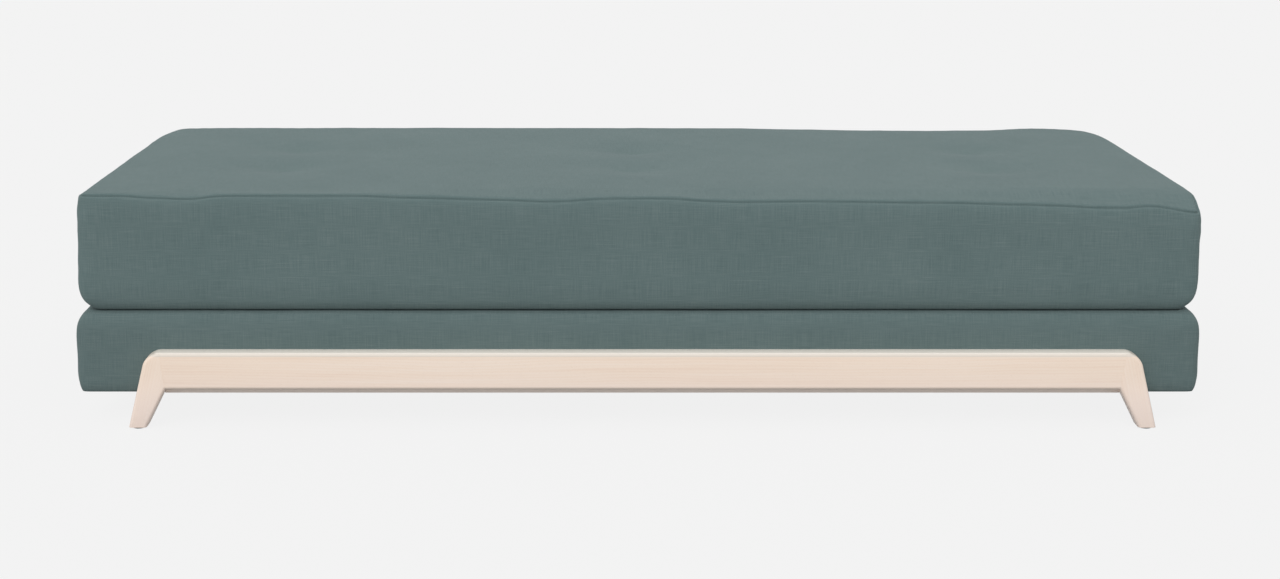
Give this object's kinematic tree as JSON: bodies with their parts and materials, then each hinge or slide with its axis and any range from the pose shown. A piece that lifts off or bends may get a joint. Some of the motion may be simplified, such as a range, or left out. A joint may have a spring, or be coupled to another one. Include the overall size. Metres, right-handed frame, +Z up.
{
  "type": "sofa bed",
  "caption": "Low sofa bed: a tufted mattress that folds over the rear edge of a padded base on a splayed wooden frame.",
  "frame": {"origin": "on the floor under the middle of the whole footprint", "axes": "+X along the seat, -Y towards the front, +Z up"},
  "size_m": [2, 0.9442, 0.4195],
  "materials": {
    "upholstery": "matte",
    "pale_wood": "matte",
    "inner_wood": "matte",
    "foam": "matte",
    "dust_fabric": "matte",
    "steel": "satin",
    "glide_plastic": "matte",
    "twine": "matte"
  },
  "bodies": {
    "base": {"front_rail": "pale_wood", "front_left_leg": "pale_wood", "front_right_leg": "pale_wood", "rear_left_leg": "pale_wood", "rear_right_leg": "pale_wood", "frame_dowels": "inner_wood", "front_frame_bolts": "steel", "rear_leg_bolts": "steel", "foot_glides": "glide_plastic", "base_front_board": "inner_wood", "base_rear_board": "inner_wood", "base_left_board": "inner_wood", "base_right_board": "inner_wood", "base_corner_blocks": "inner_wood", "base_centre_rail": "inner_wood", "base_ledgers": "inner_wood", "base_slats": "inner_wood", "base_foam": "foam", "base_cover": "upholstery", "dust_cover": "dust_fabric", "hinge_base_leaves": "steel", "hinge_pins": "steel", "base_hinge_screws": "steel"},
    "mattress": {"mattress_cover": "upholstery", "mattress_front_board": "inner_wood", "mattress_rear_board": "inner_wood", "mattress_left_board": "inner_wood", "mattress_right_board": "inner_wood", "mattress_corner_blocks": "inner_wood", "mattress_lower_foam": "foam", "mattress_core": "foam", "mattress_upper_foam": "foam", "tuft_twines": "twine", "tuft_washers": "twine", "hinge_mattress_leaves": "steel", "mattress_hinge_screws": "steel"}
  },
  "joints": [
    {"name": "mattress_fold", "type": "hinge", "parent": "base", "child": "mattress", "pos_m": [0, 0.46615, 0.2105], "axis": [-1, 0, 0], "range_deg": [0, 180]}
  ]
}
